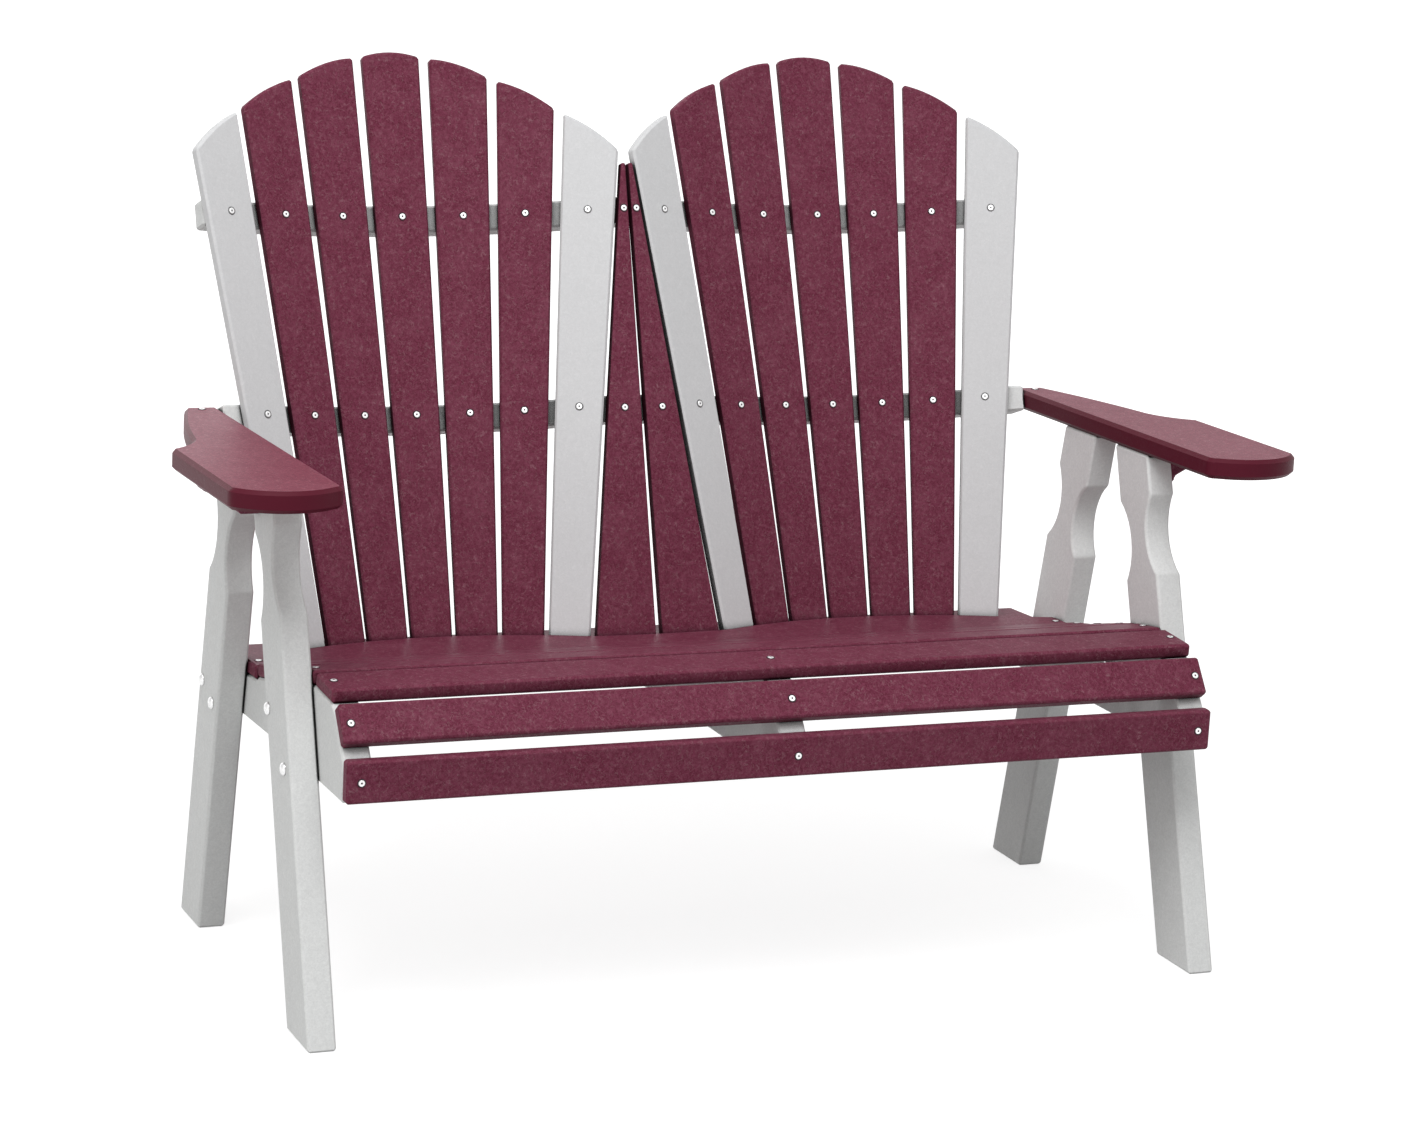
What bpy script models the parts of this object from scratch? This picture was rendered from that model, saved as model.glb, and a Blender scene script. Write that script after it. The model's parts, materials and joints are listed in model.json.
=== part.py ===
"""Outdoor loveseat of solid lumber boards with a double fan back.

Metres, +Z up. The front faces -Y and the loveseat is symmetric about X = 0. Sizes below are
given in the seat's own frame, where y = 0 is the front face of the lower apron and z = 0 is the
ground; the parent empty then centres the whole seat over the origin.
"""

import math

import bmesh
import bpy
from mathutils import Matrix, Vector

# Boards and fits
HEAVY_BOARD = 0.0381
LIGHT_BOARD = 0.019
BACK_BOARD = 0.0155
ARM_BOARD = 0.0280
CLEARANCE = 0.0003
EASED_EDGE = 0.003
ARM_EASED_EDGE = 0.005
SMOOTH_BELOW = math.radians(30)
EASE_ABOVE = math.radians(32)
FITTING_ROUNDS = 12

# Legs: where each centre line meets the ground, and how far it leans to the rear
LEG_WIDTH = 0.0889
FRONT_FOOT_Y = 0.0496
FRONT_LEAN = math.radians(18.4)
REAR_FOOT_Y = 0.5608
REAR_LEAN = math.radians(-11.2)
SCALLOP_CHORD = 0.110
SCALLOP_DEPTH = 0.0215
SCALLOP_BELOW_TOP = 0.124
SCALLOP_STEPS = 10

# Arms: the top face has this height at y = 0 and falls a little to the rear
ARM_TOP_Z = 0.7135
ARM_FALL = math.radians(1.03)
ARM_FRONT_Y = 0.028
ARM_LENGTH = 0.603
ARM_WIDTH = 0.1425
ARM_INSET = 0.0031
# Outline from the inner rear corner outwards, as shares of the arm's width and length, each with
# the bulge of the edge that leads to the next point as a share of that edge's chord
ARM_OUTLINE_SHARES = (
    (0.0, 1.0, 0.0),
    (0.312, 1.0, 0.0),
    (0.352, 0.970, 0.02),
    (0.684, 0.617, -0.09),
    (1.0, 0.513, 0.0),
    (1.0, 0.071, 0.226),
    (0.074, 0.036, 0.17),
    (0.0, 0.061, 0.0),
)
ARM_ARC_STEPS = 12

# Knee brackets under the arms
BRACKET_HEIGHT = 0.0465
BRACKET_REACH = 0.078
BRACKET_TOE = 0.030
BRACKET_SHOULDER = 0.0385
BRACKET_LIP = 0.014
BRACKET_SETBACK = 0.0155

# Seat: the front slat's top front edge, then each slat from front to rear
SEAT_FRONT_Y = 0.069
SEAT_FRONT_Z = 0.4515
SEAT_SLAT_DEPTHS = (0.071, 0.0637, 0.0597, 0.0569, 0.053)
SEAT_SLAT_GAPS = (0.012, 0.007, 0.006, 0.005, 0.007)
SEAT_SLAT_PITCHES = tuple(math.radians(a) for a in (3.2, -8.4, -13.6, -14.8, -11.4))
REAR_BOARD_PITCH = math.radians(-2.9)
REAR_BOARD_STEP = 0.0045
SEAT_CUT_GAP = 0.0008
CROSS_BOARD_DROP = 0.011

# Rails and aprons
RAIL_BOTTOM_Z = 0.3185
RAIL_BEND_Y = 0.350
RAIL_REAR_Y = 0.597
RAIL_REAR_RISE = -0.007
LOWER_APRON_Z = 0.3214
LOWER_APRON_HEIGHT = 0.0554
UPPER_APRON_Y = 0.0146
UPPER_APRON_Z = 0.397
UPPER_APRON_WIDTH = 0.0539
UPPER_APRON_TILT = math.radians(37.0)

# Fan back: slats lie on a cone round each fan's own centre, and their centre lines meet at its apex,
# below the back's foot. s runs up the reclined back from that foot, and n stands forward of it. The
# rooms are those left between a fan and the middle at the fillers' top, and the seat's end at the foot.
RECLINE = math.radians(19.3)
BACK_FOOT_Y = 0.5585
BACK_FOOT_Z = 0.4527
FILLER_TOP_ROOM = 0.01451
SEAT_END_ROOM = 0.06635
FAN_RADIUS = 0.5615
FAN_APEX_DROP = 1.6761
SLATS_PER_FAN = 7
SLAT_WIDTH = 0.0606
SLAT_GAP = 0.00663
SLAT_TAPER_SHARE = 0.0300
SLAT_FOOT_S = -0.108
SLAT_TOP_STEPS = 8
ARCH_RISE = 0.7530
SLAT_TOP_BULGE = 0.0035
CROWN_RADIUS = 0.2655
HAUNCH_ANGLE = math.radians(17.33)
HAUNCH_RADIUS = 0.5614
END_SLOPE_SHARE = 0.3

# Centre fillers between the fans
FILLER_FOOT_S = -0.098
FILLER_TOP_S = 0.586
FILLER_FOOT_GAP = 0.0103
FILLER_TOP_GAP = 0.0060
FILLER_FOOT_SPLIT = 0.0100
FILLER_TOP_SPLIT = 0.0048
FILLER_TURN = math.radians(2.5)
FILLER_PROUD = 0.0005
FILLER_EASE_SHARE = 0.25

# Curved rails behind the fan slats
BACK_RAIL_DEPTH = 0.0381
LOWER_BACK_RAIL_S = 0.2400
LOWER_BACK_RAIL_HEIGHT = 0.0370
UPPER_BACK_RAIL_S = 0.5220
UPPER_BACK_RAIL_HEIGHT = 0.0375
UPPER_BACK_RAIL_OVERHANG = 0.0040
CURVE_STEPS = 30

# Carriage bolts through the legs and side rails: height, and distance behind the leg's centre
BOLT_HEAD_RADIUS = 0.0085
BOLT_HEAD_HEIGHT = 0.005
BOLT_RADIUS = 0.0045
BOLT_END = 0.003
FRONT_BOLTS = ((0.391, 0.0356), (0.332, -0.0208))
REAR_BOLTS = ((0.350, 0.0305), (0.330, -0.0215))
NUT_RADIUS = 0.0085
NUT_HEIGHT = 0.008
NUT_SIDES = 6

# Screws through the lower apron into the ends of the rails
SCREW_HEAD_RADIUS = 0.0055
SCREW_HEAD_HEIGHT = 0.0025
SCREW_RADIUS = 0.0022
SCREW_LENGTH = 0.044
ROUND_STEPS = 16
DOME_STEPS = 4
CUT_OVERRUN = 0.004


# The slats set the fans' width, and that sets the fans' place and the seat's length
FAN_HALF_ANGLE = (SLAT_WIDTH + SLAT_GAP) / FAN_RADIUS * (SLATS_PER_FAN - 1) / 2


def cone_radius(s):
    return FAN_RADIUS * (1 + s / FAN_APEX_DROP)


def slat_width(s):
    return SLAT_WIDTH + SLAT_TAPER_SHARE * s


def fan_edge(s):
    """(offset from the fan's centre, n) of the outermost front corner of a fan."""
    angle, half = FAN_HALF_ANGLE, slat_width(s) / 2
    offset = cone_radius(s) * math.sin(angle) + half * math.cos(angle)
    n = cone_radius(s) * (1 - math.cos(angle)) + half * math.sin(angle)
    return offset, n


FAN_OFFSET = FILLER_TOP_ROOM + fan_edge(FILLER_TOP_S)[0]
HALF_SEAT = FAN_OFFSET + fan_edge(0)[0] + SEAT_END_ROOM
SEAT_LENGTH = 2 * HALF_SEAT
LEG_X = HALF_SEAT + CLEARANCE + HEAVY_BOARD / 2
RAIL_X = HALF_SEAT - HEAVY_BOARD / 2
SIDES = (("left", -1), ("right", 1))

CHERRY = ("cherry lumber", (0.135, 0.018, 0.033), 0.5, 0.0)
GREY = ("dove grey lumber", (0.47, 0.47, 0.46), 0.5, 0.0)
STEEL = ("stainless steel", (0.62, 0.62, 0.62), 0.3, 1.0)


def clear_scene():
    for obj in list(bpy.data.objects):
        bpy.data.objects.remove(obj, do_unlink=True)


def finish_material(finish):
    name, colour, roughness, metallic = finish
    material = bpy.data.materials.get(name)
    if material is None:
        material = bpy.data.materials.new(name)
        material.use_nodes = True
        shader = material.node_tree.nodes["Principled BSDF"]
        shader.inputs["Base Color"].default_value = (*colour, 1.0)
        shader.inputs["Roughness"].default_value = roughness
        shader.inputs["Metallic"].default_value = metallic
        material.diffuse_color = (*colour, 1.0)
    return material


def add_object(name, bm, finish, frame, root):
    bmesh.ops.recalc_face_normals(bm, faces=bm.faces)
    mesh = bpy.data.meshes.new(name)
    bm.to_mesh(mesh)
    bm.free()
    mesh.shade_smooth()
    mesh.set_sharp_from_angle(angle=SMOOTH_BELOW)
    mesh.materials.append(finish_material(finish))
    obj = bpy.data.objects.new(name, mesh)
    bpy.context.scene.collection.objects.link(obj)
    obj.parent = root
    obj.matrix_local = frame
    return obj


def ease_edges(obj, width):
    bevel = obj.modifiers.new("eased edges", "BEVEL")
    bevel.width = width
    bevel.segments = 1
    bevel.limit_method = "ANGLE"
    bevel.angle_limit = EASE_ABOVE
    return obj


def board(name, first, second, finish, root, frame=None, ease=EASED_EDGE):
    """A closed solid between two rings of the same number of points, with eased edges."""
    bm = bmesh.new()
    near = [bm.verts.new(p) for p in first]
    far = [bm.verts.new(p) for p in second]
    count = len(near)
    bm.faces.new(near)
    bm.faces.new(reversed(far))
    for i in range(count):
        j = (i + 1) % count
        bm.faces.new((near[i], near[j], far[j], far[i]))
    obj = add_object(name, bm, finish, frame or Matrix(), root)
    return ease_edges(obj, ease)


def side_board(name, outline, thickness, finish, root, origin):
    """A board whose (y, z) outline is extruded along X, with its origin on the outline."""
    x, y, z = origin
    half = thickness / 2
    first = [(-half, a - y, b - z) for a, b in outline]
    second = [(half, a - y, b - z) for a, b in outline]
    return board(name, first, second, finish, root, Matrix.Translation(Vector(origin)))


def bulged(start, end, bulge, steps):
    """Points after start up to end on the arc whose height is a share of the chord.

    A positive share bulges to the right of the way from start to end."""
    sx, sy = start
    ex, ey = end
    dx, dy = ex - sx, ey - sy
    if not bulge:
        return [end]
    turn = 4 * math.atan(2 * bulge)
    chord = math.hypot(dx, dy)
    radius = chord / (2 * math.sin(turn / 2))
    middle_x = (sx + ex) / 2 - dy / chord * radius * math.cos(turn / 2)
    middle_y = (sy + ey) / 2 + dx / chord * radius * math.cos(turn / 2)
    first = math.atan2(sy - middle_y, sx - middle_x)
    angles = [first + turn * i / steps for i in range(1, steps)]
    reach = abs(radius)
    return [(middle_x + reach * math.cos(a), middle_y + reach * math.sin(a)) for a in angles] + [end]


def arm_underside(y):
    return ARM_TOP_Z - ARM_BOARD / math.cos(ARM_FALL) - y * math.tan(ARM_FALL)


# Legs


def leg_point(foot_y, lean, along, across):
    """A point this far up a leg's centre line and this far behind it."""
    return (
        foot_y + along * math.sin(lean) + across * math.cos(lean),
        along * math.cos(lean) - across * math.sin(lean),
    )


def leg_edge(foot_y, lean, across, top_z):
    """Foot and top of the edge that runs beside the centre line."""
    low = across * math.tan(lean)
    high = low
    for _ in range(FITTING_ROUNDS):
        y, z = leg_point(foot_y, lean, high, across)
        high += (top_z(y) - z) / math.cos(lean)
    return low, high


def leg_outline(foot_y, lean):
    def top_z(y):
        return arm_underside(y) - CLEARANCE

    half = LEG_WIDTH / 2
    _, centre_high = leg_edge(foot_y, lean, 0, top_z)
    middle = centre_high - SCALLOP_BELOW_TOP
    low_cut, high_cut = middle - SCALLOP_CHORD / 2, middle + SCALLOP_CHORD / 2
    bulge = SCALLOP_DEPTH / SCALLOP_CHORD
    rear_low, rear_high = leg_edge(foot_y, lean, half, top_z)
    front_low, front_high = leg_edge(foot_y, lean, -half, top_z)
    flat = [(rear_low, half), (low_cut, half)]
    flat += [(u, half + v) for u, v in bulged((low_cut, 0), (high_cut, 0), bulge, SCALLOP_STEPS)]
    flat += [(rear_high, half), (front_high, -half), (high_cut, -half)]
    flat += [(u, v - half) for u, v in bulged((high_cut, 0), (low_cut, 0), bulge, SCALLOP_STEPS)]
    flat += [(front_low, -half)]
    return [leg_point(foot_y, lean, along, across) for along, across in flat]


def add_legs(root):
    legs = {}
    for word, foot_y, lean in (("front", FRONT_FOOT_Y, FRONT_LEAN), ("rear", REAR_FOOT_Y, REAR_LEAN)):
        outline = leg_outline(foot_y, lean)
        for side, sign in SIDES:
            name = f"leg_{word}_{side}"
            origin = (sign * LEG_X, foot_y, 0)
            legs[word, side] = side_board(name, outline, HEAVY_BOARD, GREY, root, origin)
    return legs


# Seat slats and what they rest on


def seat_tops():
    """(y, z, depth, pitch) of each front-to-rear slat's top front edge, then of the rear board."""
    y, z = SEAT_FRONT_Y, SEAT_FRONT_Z
    tops = []
    pitches = SEAT_SLAT_PITCHES + (REAR_BOARD_PITCH,)
    for depth, gap, pitch, after in zip(SEAT_SLAT_DEPTHS, SEAT_SLAT_GAPS, pitches, pitches[1:]):
        tops.append((y, z, depth, pitch))
        between = (pitch + after) / 2
        y += depth * math.cos(pitch) + gap * math.cos(between)
        z += depth * math.sin(pitch) + gap * math.sin(between)
    return tops, (y, z - REAR_BOARD_STEP)


def below(y, z, pitch, drop):
    """The point this far under a pitched top face."""
    return y + drop * math.sin(pitch), z - drop * math.cos(pitch)


def seat_slat_outline(y, z, depth, pitch):
    rear = (y + depth * math.cos(pitch), z + depth * math.sin(pitch))
    return [(y, z), rear, below(*rear, pitch, LIGHT_BOARD), below(y, z, pitch, LIGHT_BOARD)]


def add_seat_slats(root):
    tops, _ = seat_tops()
    for number, (y, z, depth, pitch) in enumerate(tops, 1):
        outline = seat_slat_outline(y, z, depth, pitch)
        side_board(f"seat_slat_{number}", outline, SEAT_LENGTH, CHERRY, root, (0, y, z))


def rear_board_z(y, drop):
    """Height at y of the plane this far under the rear seat board's top face."""
    _, (front_y, front_z) = seat_tops()
    base_y, base_z = below(front_y, front_z, REAR_BOARD_PITCH, drop)
    return base_z + (y - base_y) * math.tan(REAR_BOARD_PITCH)


def rear_board_depth_to(x, drop, depth_of):
    """y on that plane where the back's surface n = depth_of(x, s) crosses it."""
    y = BACK_FOOT_Y
    fall = math.cos(RECLINE) - math.tan(REAR_BOARD_PITCH) * math.sin(RECLINE)
    for _ in range(FITTING_ROUNDS):
        s, n = back_coordinates(y, rear_board_z(y, drop))
        y += (n - depth_of(x, s)) / fall
    return y


def rear_seat_rings(drops, depth_of, straight_y):
    """Top and bottom rings of a seat board with one straight edge and one cut to the fans."""
    rings = []
    half = [0] + spread(filler_outer_x(FILLER_FOOT_S), HALF_SEAT, CURVE_STEPS)
    places = [-x for x in reversed(half[1:])] + half
    for drop in drops:
        curve = [(x, rear_board_depth_to(x, drop, depth_of)) for x in places]
        edge_y = straight_y(drop)
        ring = [(x, y, rear_board_z(y, drop)) for x, y in curve]
        ring += [(x, edge_y, rear_board_z(edge_y, drop)) for x in (HALF_SEAT, -HALF_SEAT)]
        rings.append(ring)
    return rings


def add_rear_seat_board(root):
    _, (front_y, front_z) = seat_tops()

    def front_edge(drop):
        return below(front_y, front_z, REAR_BOARD_PITCH, drop)[0]

    top, bottom = rear_seat_rings((0, LIGHT_BOARD), clear_of_front, front_edge)
    board("seat_slat_rear", top, bottom, CHERRY, root)


def add_rear_cross_board(root):
    drops = (CROSS_BOARD_DROP, CROSS_BOARD_DROP + LIGHT_BOARD)
    top, bottom = rear_seat_rings(drops, clear_of_back, lambda drop: RAIL_REAR_Y)
    board("rear_cross_rail", top, bottom, CHERRY, root)


def upper_apron_outline(offset):
    """Corners of the tilted apron, its back face moved this far to the rear."""
    up = (math.sin(UPPER_APRON_TILT), math.cos(UPPER_APRON_TILT))
    back = (up[1], -up[0])
    low = (UPPER_APRON_Y, UPPER_APRON_Z)
    high = (low[0] + UPPER_APRON_WIDTH * up[0], low[1] + UPPER_APRON_WIDTH * up[1])
    reach = LIGHT_BOARD + offset
    moved = [(y + reach * back[0], z + reach * back[1]) for y, z in (high, low)]
    return [low, high, *moved]


def rail_outline(step_y):
    """Side outline of a seat rail: apron seats in front, the dished seat on top."""
    tops, _ = seat_tops()
    _, _, apron_high, apron_low = upper_apron_outline(CLEARANCE)
    face_y = LIGHT_BOARD + CLEARANCE
    slope = math.tan(UPPER_APRON_TILT)
    outline = [(face_y, RAIL_BOTTOM_Z), (face_y, apron_low[1] - (apron_low[0] - face_y) / slope)]
    outline.append(apron_high)
    drop = LIGHT_BOARD + CLEARANCE
    for y, z, depth, pitch in tops:
        rear = (y + depth * math.cos(pitch), z + depth * math.sin(pitch))
        outline += [below(y, z, pitch, drop), below(*rear, pitch, drop)]
    under = drop + CROSS_BOARD_DROP
    _, (front_y, front_z) = seat_tops()
    outline.append(below(front_y, front_z, REAR_BOARD_PITCH, drop))
    outline += [(step_y, rear_board_z(step_y, drop)), (step_y, rear_board_z(step_y, under))]
    outline.append((RAIL_REAR_Y, rear_board_z(RAIL_REAR_Y, under)))
    outline += [(RAIL_REAR_Y, RAIL_BOTTOM_Z + RAIL_REAR_RISE), (RAIL_BEND_Y, RAIL_BOTTOM_Z)]
    return outline


def rail_step_y(x):
    """Where a rail steps down from the rear seat board to the cross board behind it."""
    front = rear_board_depth_to(x, LIGHT_BOARD, clear_of_front)
    behind = rear_board_depth_to(x, CROSS_BOARD_DROP + LIGHT_BOARD, clear_of_back)
    return (front + behind) / 2


def centre_step_y():
    """The centre support steps down in front of the fillers' lower ends."""
    y, _ = back_point(filler_front(0, FILLER_FOOT_S), FILLER_FOOT_S)
    return y - 2 * CLEARANCE


def add_rails(root):
    rails = {}
    outline = rail_outline(rail_step_y(RAIL_X))
    for side, sign in SIDES:
        origin = (sign * RAIL_X, LIGHT_BOARD, RAIL_BOTTOM_Z)
        rails[side] = side_board(f"side_rail_{side}", outline, HEAVY_BOARD, GREY, root, origin)
    outline = rail_outline(centre_step_y())
    origin = (0, LIGHT_BOARD, RAIL_BOTTOM_Z)
    rails["centre"] = side_board("centre_support", outline, HEAVY_BOARD, GREY, root, origin)
    return rails


def add_aprons(root):
    top = LOWER_APRON_Z + LOWER_APRON_HEIGHT
    outline = [(0, LOWER_APRON_Z), (0, top), (LIGHT_BOARD, top), (LIGHT_BOARD, LOWER_APRON_Z)]
    origin = (0, 0, LOWER_APRON_Z)
    lower = side_board("lower_apron", outline, SEAT_LENGTH, CHERRY, root, origin)
    origin = (0, UPPER_APRON_Y, UPPER_APRON_Z)
    side_board("upper_apron", upper_apron_outline(0), SEAT_LENGTH, CHERRY, root, origin)
    return lower


# Back


def back_point(n, s):
    """(y, z) of the point n forward of the back's plane and s up it."""
    y = BACK_FOOT_Y + s * math.sin(RECLINE) - n * math.cos(RECLINE)
    z = BACK_FOOT_Z + s * math.cos(RECLINE) + n * math.sin(RECLINE)
    return y, z


def back_coordinates(y, z):
    """(s, n) of a point at (y, z)."""
    dy, dz = y - BACK_FOOT_Y, z - BACK_FOOT_Z
    s = dy * math.sin(RECLINE) + dz * math.cos(RECLINE)
    n = dz * math.sin(RECLINE) - dy * math.cos(RECLINE)
    return s, n


def filler_plane(s_low, s_high):
    """(a, b, c) of the filler's front face n = a + b s + c x, just proud of the inner slat's edge."""
    slope = -math.tan(FILLER_TURN)
    low, high = fan_edge(s_low), fan_edge(s_high)
    level_low = low[1] + FILLER_PROUD - slope * (FAN_OFFSET - low[0])
    level_high = high[1] + FILLER_PROUD - slope * (FAN_OFFSET - high[0])
    rise = (level_high - level_low) / (s_high - s_low)
    return level_low - rise * s_low, rise, slope


def along_filler(s, at_foot, at_top):
    share = (s - FILLER_FOOT_S) / (FILLER_TOP_S - FILLER_FOOT_S)
    return at_foot + share * (at_top - at_foot)


def filler_outer_x(s):
    return FAN_OFFSET - fan_edge(s)[0] - along_filler(s, FILLER_FOOT_GAP, FILLER_TOP_GAP)


def filler_inner_x(s):
    return along_filler(s, FILLER_FOOT_SPLIT, FILLER_TOP_SPLIT) / 2


def filler_front(x, s):
    level, rise, slope = filler_plane(FILLER_FOOT_S, FILLER_TOP_S)
    return level + rise * s + slope * abs(x)


def filler_back(x, s):
    _, rise, slope = filler_plane(FILLER_FOOT_S, FILLER_TOP_S)
    return filler_front(x, s) - BACK_BOARD * math.sqrt(1 + rise**2 + slope**2)


def fan_depth(x, s, reach):
    """n of an arc of this radius round the nearer fan's centre, run out straight at the ends."""
    offset = abs(x) - FAN_OFFSET
    limit, _ = fan_edge(s)
    inside = min(offset, limit)
    n = cone_radius(s) - math.sqrt(reach**2 - inside**2)
    return n + END_SLOPE_SHARE * (offset - inside)


def slat_reach(s):
    """Radius that just clears the back corners of the slats."""
    return math.hypot(cone_radius(s) + BACK_BOARD, slat_width(s) / 2) + 2 * CLEARANCE


def clear_of_front(x, s):
    if abs(x) > filler_outer_x(FILLER_FOOT_S):
        return fan_depth(x, s, cone_radius(s)) + SEAT_CUT_GAP
    return filler_front(x, s) + SEAT_CUT_GAP


def clear_of_back(x, s):
    arc = fan_depth(x, s, slat_reach(s))
    if abs(x) > FAN_OFFSET:
        return arc
    return min(arc, filler_back(x, s) - CLEARANCE)


def rail_back_depth(x, s):
    """n of a back rail's rear edge: it follows the fans and fills the fold between them."""
    offset = abs(x) - FAN_OFFSET
    arc = cone_radius(s) - math.sqrt((slat_reach(s) + BACK_RAIL_DEPTH) ** 2 - offset**2)
    return min(arc, clear_of_back(0, s) - BACK_RAIL_DEPTH)


def arch_s(offset):
    """Height s of the arch over one fan at this distance from the fan's centre."""
    offset = abs(offset)
    turn_x = CROWN_RADIUS * math.sin(HAUNCH_ANGLE)
    if offset <= turn_x:
        return ARCH_RISE - CROWN_RADIUS + math.sqrt(CROWN_RADIUS**2 - offset**2)
    turn_s = ARCH_RISE - CROWN_RADIUS * (1 - math.cos(HAUNCH_ANGLE))
    middle_x = turn_x - HAUNCH_RADIUS * math.sin(HAUNCH_ANGLE)
    middle_s = turn_s - HAUNCH_RADIUS * math.cos(HAUNCH_ANGLE)
    return middle_s + math.sqrt(HAUNCH_RADIUS**2 - (offset - middle_x) ** 2)


def slat_axes(angle):
    """Foot, width direction and length direction of a slat, as (x, n, s) from the fan's centre."""
    side, face = math.sin(angle), 1 - math.cos(angle)
    foot = Vector((FAN_RADIUS * side, FAN_RADIUS * face, 0))
    length = Vector((foot.x, foot.y, FAN_APEX_DROP)).normalized()
    width = Vector((math.cos(angle), side, 0))
    width = (width - length * width.dot(length)).normalized()
    return foot, width, length


def slat_outline(foot, width, length):
    """The slat's outline in its own plane: across it, and along it from the back's foot."""
    foot_half = slat_width(SLAT_FOOT_S) / 2
    outline = [(-foot_half, SLAT_FOOT_S), (foot_half, SLAT_FOOT_S)]
    for share in spread(1, -1, SLAT_TOP_STEPS):
        along = ARCH_RISE
        for _ in range(FITTING_ROUNDS):
            across = share * slat_width(along) / 2
            place = foot + across * width + along * length
            along += arch_s(place.x) - place.z
        outline.append((across, along + SLAT_TOP_BULGE * (1 - share**2)))
    return outline


def back_frame(centre_x, foot, width, length):
    """Matrix from a slat's own frame (across, forward, along) to the seat's frame."""

    def turned(v):
        y, z = back_point(v.y, v.z)
        return Vector((v.x, y - BACK_FOOT_Y, z - BACK_FOOT_Z))

    columns = [turned(width), turned(length.cross(width)), turned(length)]
    frame = Matrix(columns).transposed().to_4x4()
    y, z = back_point(foot.y, foot.z)
    frame.translation = (centre_x + foot.x, y, z)
    return frame


def add_back_slats(root):
    outer = (1, SLATS_PER_FAN)
    for side, sign in SIDES:
        for number, angle in enumerate(spread(-FAN_HALF_ANGLE, FAN_HALF_ANGLE, SLATS_PER_FAN - 1), 1):
            foot, width, length = slat_axes(angle)
            outline = slat_outline(foot, width, length)
            front = [(across, 0, along) for across, along in outline]
            back = [(across, -BACK_BOARD, along) for across, along in outline]
            frame = back_frame(sign * FAN_OFFSET, foot, width, length)
            finish = GREY if number in outer else CHERRY
            board(f"back_slat_{side}_{number}", front, back, finish, root, frame)


def add_centre_fillers(root):
    _, rise, slope = filler_plane(FILLER_FOOT_S, FILLER_TOP_S)
    low, high = FILLER_FOOT_S, FILLER_TOP_S
    outline = [(filler_inner_x(low), low), (filler_outer_x(low), low)]
    outline += [(filler_outer_x(high), high), (filler_inner_x(high), high)]
    top_width = filler_outer_x(FILLER_TOP_S) - filler_inner_x(FILLER_TOP_S)
    normal = Vector((-slope, 1, -rise)).normalized() * BACK_BOARD
    for side, sign in SIDES:
        front, back = [], []
        for x, s in outline:
            n = filler_front(x, s)
            front.append((sign * x, *back_point(n, s)))
            back.append((sign * (x - normal.x), *back_point(n - normal.y, s - normal.z)))
        ease = top_width * FILLER_EASE_SHARE
        board(f"centre_filler_{side}", front, back, CHERRY, root, ease=ease)


def add_back_rail(name, middle_s, height, end_x, root):
    rings = []
    for s in (middle_s - height / 2, middle_s + height / 2):
        places = spread(-end_x, end_x, 2 * CURVE_STEPS)
        ring = [(x, *back_point(clear_of_back(x, s), s)) for x in places]
        ring += [(x, *back_point(rail_back_depth(x, s), s)) for x in reversed(places)]
        rings.append(ring)
    return board(name, *rings, GREY, root)


# Arms and brackets


def arm_inner_x():
    return HALF_SEAT - ARM_INSET


def add_arms(root):
    corners = [(w * ARM_WIDTH, l * ARM_LENGTH, bulge) for w, l, bulge in ARM_OUTLINE_SHARES]
    outline = []
    for (x, y, bulge), (next_x, next_y, _) in zip(corners, corners[1:] + corners[:1]):
        outline += bulged((x, y), (next_x, next_y), -bulge, ARM_ARC_STEPS)
    for side, sign in SIDES:
        top = [(sign * x, y, 0) for x, y in outline]
        bottom = [(sign * x, y, -ARM_BOARD) for x, y in outline]
        front_z = ARM_TOP_Z - ARM_FRONT_Y * math.tan(ARM_FALL)
        place = Matrix.Translation((sign * arm_inner_x(), ARM_FRONT_Y, front_z))
        frame = place @ Matrix.Rotation(-ARM_FALL, 4, "X")
        board(f"arm_{side}", top, bottom, CHERRY, root, frame, ease=ARM_EASED_EDGE)


def add_brackets(root):
    top_z = arm_underside(0)
    along = (top_z - BRACKET_HEIGHT / 2) / math.cos(FRONT_LEAN)
    y, _ = leg_point(FRONT_FOOT_Y, FRONT_LEAN, along, BRACKET_SETBACK)
    outline = [
        (0, 0),
        (BRACKET_REACH, 0),
        (BRACKET_REACH, -BRACKET_LIP),
        (BRACKET_TOE, -BRACKET_SHOULDER),
        (BRACKET_TOE, -BRACKET_HEIGHT),
        (0, -BRACKET_HEIGHT),
    ]
    half = HEAVY_BOARD / 2
    for side, sign in SIDES:
        front = [(sign * x, -half, z) for x, z in outline]
        rear = [(sign * x, half, z) for x, z in outline]
        x = LEG_X + HEAVY_BOARD / 2 + CLEARANCE
        place = Matrix.Translation((sign * x, y, arm_underside(y) - CLEARANCE))
        frame = place @ Matrix.Rotation(-ARM_FALL, 4, "X")
        board(f"arm_bracket_{side}", front, rear, CHERRY, root, frame)


# Fasteners


def turned_piece(name, profile, finish, frame, root):
    """A solid of revolution round Z. The profile runs from the axis out and back to the axis."""
    bm = bmesh.new()
    rings = []
    for radius, z in profile:
        if not radius:
            rings.append([bm.verts.new((0, 0, z))])
            continue
        angles = [math.tau * i / ROUND_STEPS for i in range(ROUND_STEPS)]
        rings.append([bm.verts.new((radius * math.cos(a), radius * math.sin(a), z)) for a in angles])
    for one, two in zip(rings, rings[1:]):
        for i in range(ROUND_STEPS):
            j = (i + 1) % ROUND_STEPS
            corners = [one[i % len(one)], one[j % len(one)], two[j % len(two)], two[i % len(two)]]
            bm.faces.new(list(dict.fromkeys(corners)))
    return add_object(name, bm, finish, frame, root)


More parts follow.
